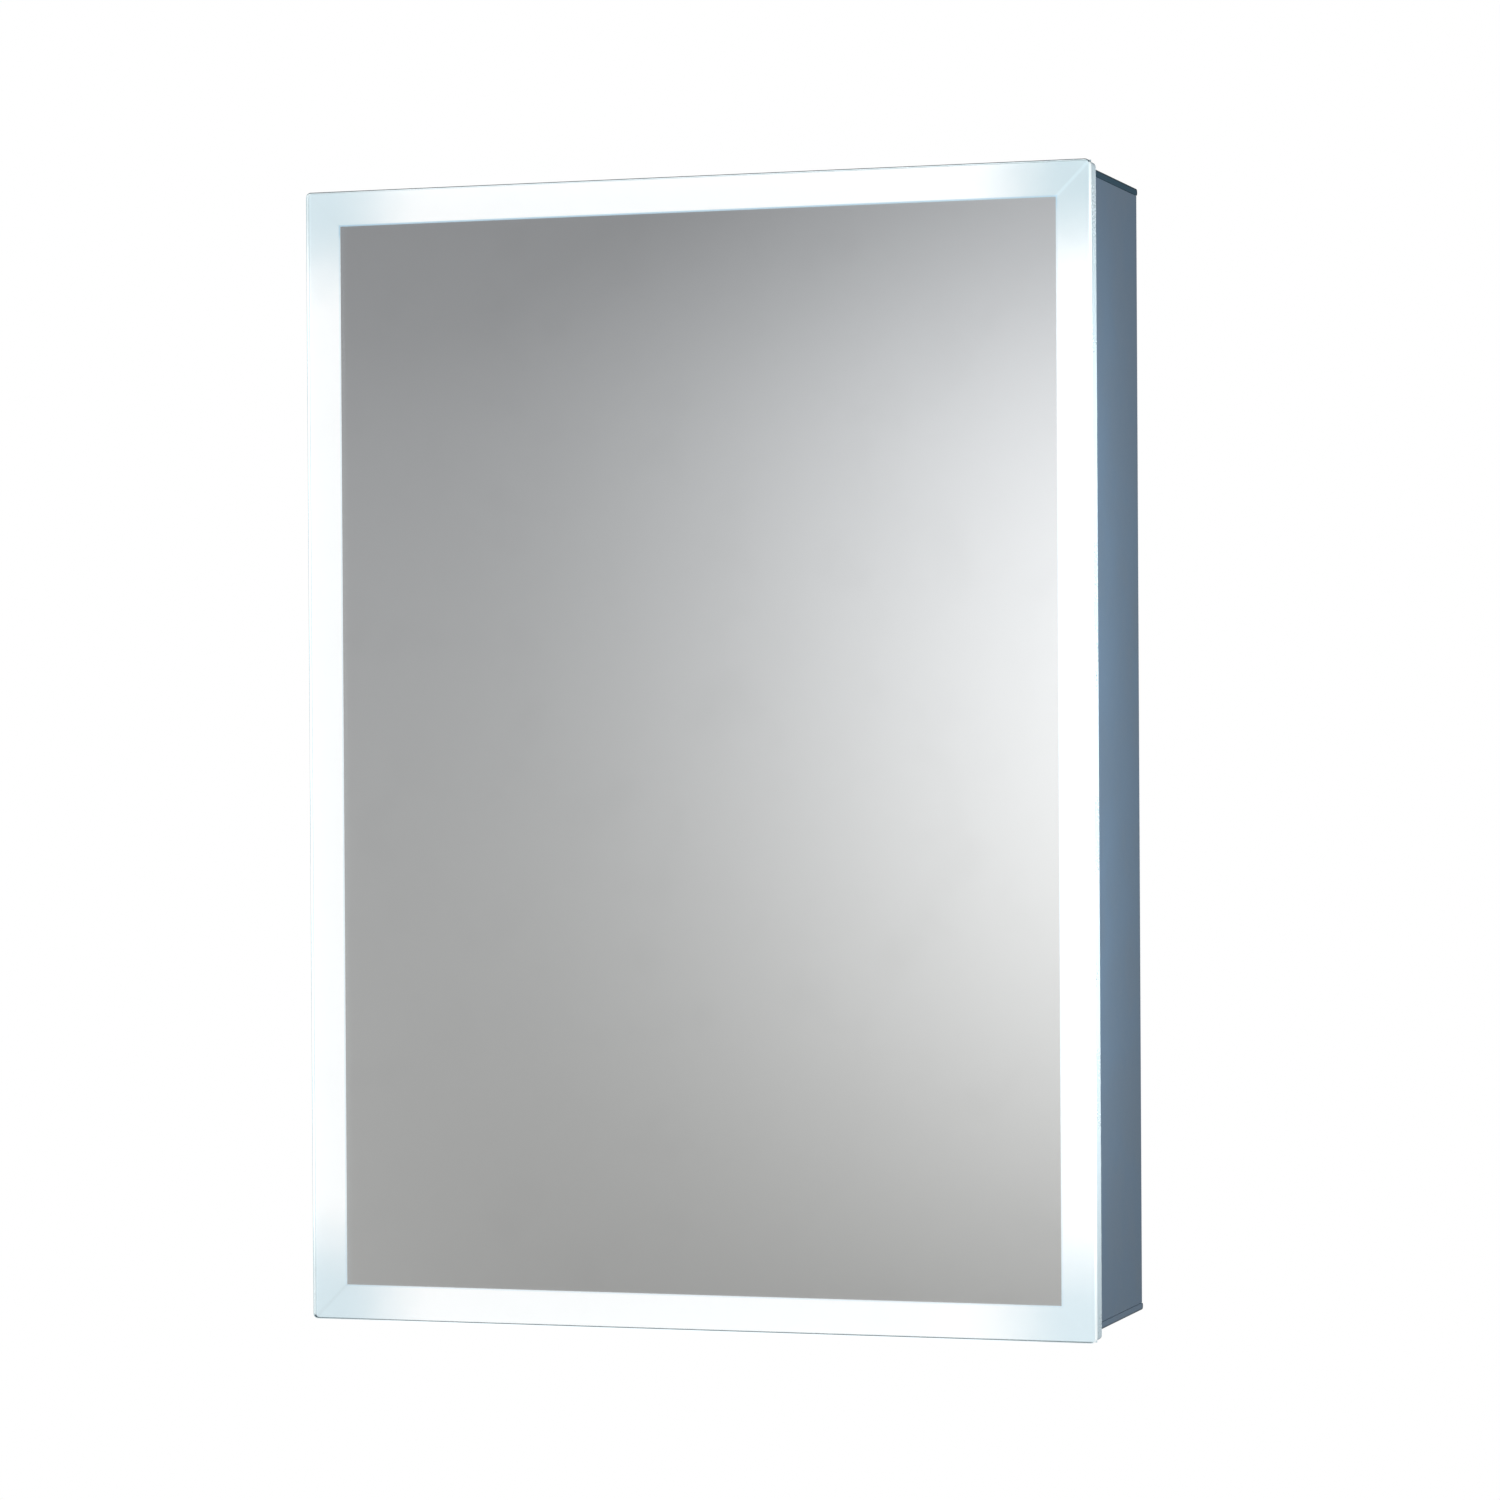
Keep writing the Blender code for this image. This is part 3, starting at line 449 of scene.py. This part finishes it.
def make_finishes():
    low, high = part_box("bottom_panel")[0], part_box("top_panel")[1]
    glass_low, glass_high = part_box("door_glass")
    half = ((glass_high.x - glass_low.x) / 2, (glass_high.z - glass_low.z) / 2)
    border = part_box("mirror_backing")[0].x - glass_low.x
    return {
        # The body's line is a painted shade along the panel's ends and its rear edge.
        "body": finish(
            "satin_aluminium", (0.109, 0.185, 0.272), (0.094, 0.162, 0.238), 0.6, (0.40, 0.48),
            mottle=26.0, grain=1500.0, line=((0.012, 0.035, 0.05), low.z + 0.0007, high.z, high.y - 0.0025),
        ),
        # The top panel's finish is a darker copy of the body's aluminium, as painted shade. It also has
        # painted shade on its upward fold and a dark painted line along its top and rear.
        "end": finish(
            "shaded_top_aluminium", (0.024, 0.056, 0.080), (0.021, 0.050, 0.072), 0.6, (0.42, 0.46),
            mottle=30.0, grain=1500.0, slant_shade=(0.006, 0.009, 0.011),
            line=((0.003, 0.005, 0.006), low.z, high.z - 0.0009, high.y - 0.0025),
            **{"Specular Tint": (0.50, 0.78, 1.0, 1.0), "Specular IOR Level": 0.3},
        ),
        "liner": finish(
            "inner_aluminium", (0.68, 0.70, 0.72), (0.62, 0.64, 0.66), 0.9, (0.31, 0.39),
            grain=260.0, stretch=(1.0, 1.0, 22.0), wear=(0.82, 0.83, 0.84),
        ),
        "steel": galvanised("galvanised_steel"),
        "nickel": finish(
            "nickel", (0.72, 0.72, 0.71), (0.66, 0.66, 0.65), 1.0, (0.20, 0.30), mottle=60.0, grain=2000.0,
            depth=0.000008,
        ),
        "frame": finish(
            "anodised_frame", (0.52, 0.65, 0.71), (0.48, 0.61, 0.67), 0.3, (0.24, 0.34),
            grain=700.0, mottle=20.0, depth=0.000006, wear=(0.56, 0.69, 0.75),
        ),
        "mirror": silvered("silvering", (0.915, 0.912, 0.920)),
        "inside_mirror": silvered("inside_silvering", (0.86, 0.885, 0.88)),
        "glass": clear_glass("door_float_glass", (0.975, 0.985, 0.985)),
        "glass_edge": glass_edge("door_glass_edge_painted_glow", (0.86, 0.94, 0.96), (0.26, 0.33, 0.35), 0.95, half),
        "shelf_glass": clear_glass("shelf_float_glass", (0.90, 0.975, 0.955)),
        # The shelves' edges take a faint painted glow, with no lamp behind them.
        "shelf_edge": glass_edge("shelf_glass_edge_painted_glow", (0.42, 0.68, 0.60), (0.20, 0.46, 0.38), 0.05),
        "frosting": lit_frosting("lit_frosting", border),
        # The near-black inlay in the screw heads is painted shade, standing for the shade inside the cross
        # recess.
        "recess_shade": finish("screw_recess_painted_shade", (0.05, 0.05, 0.052), (0.025, 0.025, 0.027), 0.4, (0.5, 0.7)),
        "diffuser": finish(
            "opal_acrylic", (0.93, 0.95, 0.97), (0.86, 0.89, 0.92), 0.0, (0.42, 0.56),
            **{"Emission Color": (0.93, 0.97, 1.0, 1.0), "Emission Strength": 0.5},
        ),
        "led_strip": finish("led_strip_white", (0.90, 0.90, 0.86), (0.80, 0.80, 0.75), 0.0, (0.5, 0.65)),
        "film": finish("heating_film", (0.62, 0.50, 0.33), (0.50, 0.39, 0.24), 0.1, (0.45, 0.6)),
        "white": finish(
            "white_plastic", (0.84, 0.84, 0.82), (0.78, 0.78, 0.76), 0.0, (0.34, 0.46), grain=2400.0,
            depth=0.00004,
        ),
        "black": finish(
            "black_plastic", (0.035, 0.036, 0.040), (0.018, 0.018, 0.021), 0.0, (0.38, 0.55), grain=2400.0,
            depth=0.00005, wear=(0.10, 0.10, 0.105),
        ),
        "rubber": finish(
            "grey_rubber", (0.075, 0.075, 0.078), (0.040, 0.040, 0.043), 0.0, (0.7, 0.9), grain=1800.0,
            depth=0.00005,
        ),
        "silicone": finish(
            "clear_silicone", (0.78, 0.80, 0.80), (0.66, 0.69, 0.70), 0.0, (0.2, 0.32),
            **{"Transmission Weight": 0.6, "IOR": 1.41},
        ),
        "lens": finish("dark_lens", (0.045, 0.012, 0.018), (0.020, 0.006, 0.010), 0.0, (0.05, 0.12)),
    }


def node_finish(name):
    """Which finish a CAD node has."""
    # The top panel takes the shaded copy of the body's aluminium; the bottom panel takes the body's own.
    rules = (
        ("top_panel", "end"), ("bottom_panel", "body"), ("side_panel", "body"), ("side_liner", "liner"),
        ("service_cover", "liner"), ("rear_panel", "steel"), ("hanging", "steel"), ("strike_plate", "steel"),
        ("back_mirror", "inside_mirror"), ("inner_mirror", "inside_mirror"), ("mirror_backing", "mirror"),
        ("door_glass", "glass"), ("hinge", "nickel"), ("frame_profile", "frame"), ("diffuser", "diffuser"),
        ("led_strip", "led_strip"), ("demister_pad", "film"), ("catch_magnet", "black"),
        ("cable_grommet", "rubber"), ("bumper", "silicone"), ("sensor_lens", "lens"),
        ("socket", "white"), ("led_driver", "white"), ("terminal_block", "white"),
        ("sensor_housing", "white"),
    )
    if "_pin_" in name:
        return "nickel"
    if name.startswith("shelf"):
        return "shelf_glass"
    return next(value for start, value in rules if name.startswith(start))


def dress_nodes(nodes, finishes):
    for name, obj in nodes.items():
        obj.data.materials.clear()
        obj.data.materials.append(finishes[node_finish(name)])


def dress_edges(obj, edge, axis):
    """Gives a pane's narrow faces the finish of a polished edge."""
    obj.data.materials.append(edge)
    for polygon in obj.data.polygons:
        if abs(polygon.normal[axis]) < FLAT_LIMIT:
            polygon.material_index = 1
    obj.visible_shadow = False


# ---------------------------------------------------------------- the lit border


def make_frosting(finishes):
    """The ground band on the glass's rear face: four mitred strips in one ring."""
    low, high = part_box("door_glass")
    inner_low, inner_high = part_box("mirror_backing")
    y = high.y + BAND_GAP
    outer = (low.x + BAND_INSET, low.z + BAND_INSET, high.x - BAND_INSET, high.z - BAND_INSET)
    inner = (inner_low.x, inner_low.z, inner_high.x, inner_high.z)
    bm = bmesh.new()
    rows = []
    for i in range(BAND_ROWS + 1):
        x0, z0, x1, z1 = [a + (b - a) * (i / BAND_ROWS) for a, b in zip(outer, inner)]
        corners = [(x0, z0), (x1, z0), (x1, z1), (x0, z1)]
        row = []
        for a, b in zip(corners, corners[1:] + corners[:1]):
            for step in range(BAND_STEPS):
                t = step / BAND_STEPS
                t = t * t * (3 - 2 * t)
                row.append(bm.verts.new((a[0] + (b[0] - a[0]) * t, y, a[1] + (b[1] - a[1]) * t)))
        rows.append(row)
    for outer_row, inner_row in zip(rows, rows[1:]):
        for i in range(len(outer_row)):
            j = (i + 1) % len(outer_row)
            bm.faces.new((outer_row[i], outer_row[j], inner_row[j], inner_row[i]))
    band = add_piece("frosted_band", bm, "door", [finishes["frosting"]], smooth=False)
    middle = ((low.x + high.x) / 2, (low.z + high.z) / 2)
    half = ((high.x - low.x) / 2, (high.z - low.z) / 2)
    values = {"from_edge": [], "from_corner": [], "mitre_tone": []}
    for v in band.data.vertices:
        x, z = v.co.x - middle[0], v.co.z - middle[1]
        gaps = (half[0] - abs(x), half[1] - abs(z))
        values["from_edge"].append(min(gaps))
        values["from_corner"].append(max(gaps))
        values["mitre_tone"].append(MITRE_TONES[x > 0][z > 0])
    for name, numbers in values.items():
        attribute = band.data.attributes.new(name, "FLOAT", "POINT")
        attribute.data.foreach_set("value", numbers)


# ---------------------------------------------------------------- small fittings


def make_hinge_screws(finishes):
    """Countersunk heads in both leaves, flush enough to close on each other."""
    rows = [LEAF_SCREW_PITCH * i for i in range(-4, 5)]
    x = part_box("hinge_leaf_body")[1].x - LEAF_SCREW_INSET
    body_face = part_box("side_panel_left")[0].y - LEAF_FACE
    door_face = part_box("frame_profile_left")[1].y + LEAF_FACE
    spots = [(x, body_face, z) for z in rows]
    add_screws("hinge_screws_body", spots, (0, -1, 0), *LEAF_SCREW, "cabinet", finishes)
    spots = [(x, door_face, z) for z in rows]
    add_screws("hinge_screws_door", spots, (0, 1, 0), *LEAF_SCREW, "door", finishes)


def make_cover_screws(finishes):
    low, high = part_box("service_cover")
    spots = [(x, low.y, high.z - COVER_SCREW_DROP) for x in COVER_SCREW_ROW]
    add_screws("cover_screws", spots, (0, -1, 0), *COVER_SCREW, "cabinet", finishes)
    low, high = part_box("socket_plate")
    middle = (low.z + high.z) / 2
    spots = [(x, low.y, middle) for x in (low.x + SOCKET_SCREW_INSET, high.x - SOCKET_SCREW_INSET)]
    add_screws("socket_screws", spots, (0, -1, 0), *SOCKET_SCREW, "cabinet", finishes)


def make_catch_details(finishes):
    """The magnet's two steel poles, and the screws that hold it and its strike plate."""
    low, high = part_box("catch_magnet")
    bm = bmesh.new()
    for x in (low.x + POLE_INSETS[0], high.x - POLE_INSETS[1]):
        start = (x, low.y - POLE_PROUD, low.z + POLE_END)
        add_slab(bm, start, (x + POLE_WIDTH, low.y + POLE_DEPTH, high.z - POLE_END))
    add_piece("catch_poles", bm, "cabinet", [finishes["nickel"]], smooth=False)
    y = (low.y + high.y) / 2 + CATCH_SCREW_BACK
    spots = [(low.x, y, z) for z in (low.z + CATCH_SCREW_INSET, high.z - CATCH_SCREW_INSET)]
    add_screws("catch_screws", spots, (-1, 0, 0), *CATCH_SCREW, "cabinet", finishes)
    low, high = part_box("strike_plate")
    x = (low.x + high.x) / 2
    spots = [(x, high.y, z) for z in (low.z + STRIKE_SCREW_INSET, high.z - STRIKE_SCREW_INSET)]
    add_screws("strike_screws", spots, (0, 1, 0), *STRIKE_SCREW, "door", finishes)


def make_rear_rivets(finishes):
    """Low rivets along the rear panel's edges. Their heads stand 0.1 mm past the wall face."""
    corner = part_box("rear_panel")[1]
    side, end = corner.x - RIVET_INSET, corner.z - RIVET_INSET
    spots = [(x, RIVET_PITCH * i) for i in range(-4, 5) for x in (-side, side)]
    spots += [(RIVET_PITCH * i, z) for i in range(-2, 3) for z in (-end, end)]
    bm = bmesh.new()
    for x, z in spots:
        add_turned(bm, RIVET_PROFILE, (x, corner.y, z), (0, 1, 0), 16)
    add_piece("rear_rivets", bm, "cabinet", [finishes["nickel"]])


# ---------------------------------------------------------------- studio


def make_world():
    """A pale studio: a soft glow in front of the object, and dark above. The camera sees white."""
    world = bpy.data.worlds.new("studio")
    bpy.context.scene.world = world
    world.use_nodes = True
    tree = world.node_tree
    tree.nodes.clear()
    direction = node(tree, "TexCoord").outputs["Generated"]
    x, y, z = node(tree, "SeparateXYZ", {0: direction}).outputs
    # A soft lamp panel in front and to the left, which the mirror shows
    across = maths(tree, "DIVIDE", maths(tree, "SUBTRACT", x, GLOW_MIDDLE[0]), GLOW_SPREAD[0])
    upright = maths(tree, "DIVIDE", maths(tree, "SUBTRACT", z, GLOW_MIDDLE[1]), GLOW_SPREAD[1])
    wide = maths(tree, "MULTIPLY", across, across)
    squares = maths(tree, "MULTIPLY_ADD", upright, upright)
    tree.links.new(wide, squares.node.inputs[2])
    glow = maths(tree, "EXPONENT", maths(tree, "MULTIPLY", squares, -1.0))
    slope = ramp(tree, x, -0.40, -0.22, 1.14, 0.627, smooth=False)
    lift = ramp(tree, z, -0.12, 0.12, 0.070, -0.070, smooth=False)
    bright = maths(tree, "MULTIPLY", glow, GLOW_STRENGTH)
    panel = maths(tree, "ADD", maths(tree, "ADD", bright, slope), lift)
    aside = ramp(tree, maths(tree, "ABSOLUTE", maths(tree, "ADD", x, 0.31)), 0.15, 0.35)
    beyond = ramp(tree, maths(tree, "ABSOLUTE", z), 0.14, 0.30)
    base = ramp(tree, maths(tree, "MAXIMUM", aside, beyond), 0.0, 1.0, 0.30, 0.60, smooth=False)
    front = maths(tree, "MAXIMUM", maths(tree, "SUBTRACT", panel, 0.85), base)
    front = maths(tree, "MULTIPLY", front, ramp(tree, z, 0.06, 0.125, 1.16, 1.0))
    side = ramp(tree, x, -0.15, 0.32, 0.24, 0.49)
    level = node(tree, "Mix", {"Factor": ramp(tree, y, -0.75, 0.25), "A": front, "B": side}).outputs["Result"]
    dark = node(tree, "Mix", {"Factor": ramp(tree, z, 0.28, 0.80), "A": level, "B": 0.10}).outputs["Result"]
    tint = blend_colours(tree, ramp(tree, z, -0.15, 0.2), (1.01, 1.0, 0.975), (0.985, 1.0, 1.03))
    seen = node(tree, "Background", {"Color": (1.0, 1.0, 1.0, 1.0), "Strength": 1.0})
    cast = node(tree, "Background", {"Color": tint, "Strength": dark})
    camera = node(tree, "LightPath").outputs["Is Camera Ray"]
    both = node(tree, "MixShader", {0: camera, 1: cast.outputs[0], 2: seen.outputs[0]})
    node(tree, "OutputWorld", {"Surface": both.outputs[0]})


def make_floor():
    """A plain pale floor, well below the cabinet. The camera sees it as white."""
    bm = bmesh.new()
    bmesh.ops.create_circle(bm, cap_ends=True, segments=64, radius=FLOOR_RADIUS)
    mesh = bpy.data.meshes.new("floor")
    bm.to_mesh(mesh)
    bm.free()
    floor = bpy.data.objects.new("floor", mesh)
    floor.location.z = FLOOR_HEIGHT
    bpy.context.scene.collection.objects.link(floor)
    made, tree = new_material("pale_floor")
    grain = ramp(tree, noise(tree, 30.0, 4.0), 0.3, 0.7)
    paint = blend_colours(tree, grain, (0.80, 0.80, 0.80), (0.84, 0.84, 0.84))
    rough = node(tree, "BsdfPrincipled", {"Base Color": paint, "Roughness": 0.7})
    glow = node(tree, "Emission", {"Color": (0.98, 0.99, 1.0, 1.0), "Strength": 0.30})
    lit = node(tree, "AddShader", {0: rough.outputs[0], 1: glow.outputs[0]}).outputs[0]
    away = node(tree, "VectorMath", {0: places(tree)}, operation="LENGTH").outputs["Value"]
    clear = node(tree, "BsdfTransparent").outputs[0]
    faded = node(tree, "MixShader", {0: ramp(tree, away, *FLOOR_FADE), 1: lit, 2: clear}).outputs[0]
    seen = node(tree, "Emission", {"Color": (1.0, 1.0, 1.0, 1.0), "Strength": 1.0}).outputs[0]
    camera = node(tree, "LightPath").outputs["Is Camera Ray"]
    close(tree, node(tree, "MixShader", {0: camera, 1: faded, 2: seen}).outputs[0])
    mesh.materials.append(made)


def add_area(name, place, target, size, power, colour=(1.0, 1.0, 1.0)):
    lamp = bpy.data.lights.new(name, "AREA")
    lamp.shape = "RECTANGLE"
    lamp.size, lamp.size_y = size
    lamp.energy = power
    lamp.color = colour
    obj = bpy.data.objects.new(name, lamp)
    obj.location = place
    obj.rotation_euler = (Vector(target) - Vector(place)).to_track_quat("-Z", "Y").to_euler()
    obj.visible_camera = False
    bpy.context.scene.collection.objects.link(obj)
    return obj


def make_lights():
    add_area("key", (1.9, -1.5, 1.5), (0.1, -0.05, 0.0), (1.2, 1.2), 14.0)
    side = add_area("side", (0.37, -0.175, 0.01), (0.25, -0.11, 0.01), (0.03, 0.56), 1.30, (1.0, 0.96, 0.96))
    side.visible_glossy = False
    add_area("rear", (-1.2, 2.2, 1.4), (0.0, 0.0, 0.0), (1.4, 1.4), 44.0)


def make_camera(aim):
    """The photograph's view: from the front right, near the height of the cabinet's middle."""
    yaw, pitch, roll = (math.radians(a) for a in CAMERA_TURN)
    forward = Vector((-math.sin(yaw) * math.cos(pitch), math.cos(yaw) * math.cos(pitch), -math.sin(pitch)))
    across = Vector((math.cos(yaw), math.sin(yaw), 0.0))
    upright = across.cross(forward)
    right = math.cos(roll) * across + math.sin(roll) * upright
    up = -math.sin(roll) * across + math.cos(roll) * upright
    data = bpy.data.cameras.new("camera")
    data.sensor_width = 36.0
    data.lens = LENS
    data.shift_y = SHIFT_UP
    camera = bpy.data.objects.new("camera", data)
    place = aim - CAMERA_BACK * forward + CAMERA_RIGHT * right - CAMERA_DOWN * up
    turn = Matrix((right, up, -forward)).transposed().to_4x4()
    camera.matrix_world = Matrix.Translation(place) @ turn
    bpy.context.scene.collection.objects.link(camera)
    bpy.context.scene.camera = camera


def main():
    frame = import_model()
    finishes = make_finishes()
    dress_nodes(frame["nodes"], finishes)
    dress_edges(frame["nodes"]["door_glass"], finishes["glass_edge"], 1)
    for shelf in SHELVES:
        dress_edges(frame["nodes"][f"shelf_{shelf}"], finishes["shelf_edge"], 2)
    make_frosting(finishes)
    make_hinge_screws(finishes)
    make_cover_screws(finishes)
    make_catch_details(finishes)
    make_rear_rivets(finishes)
    make_world()
    make_floor()
    make_lights()
    low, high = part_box("door_glass")
    make_camera(Vector(((low.x + high.x) / 2, low.y, (low.z + high.z) / 2)))
    bpy.context.scene.view_settings.view_transform = "Standard"


main()
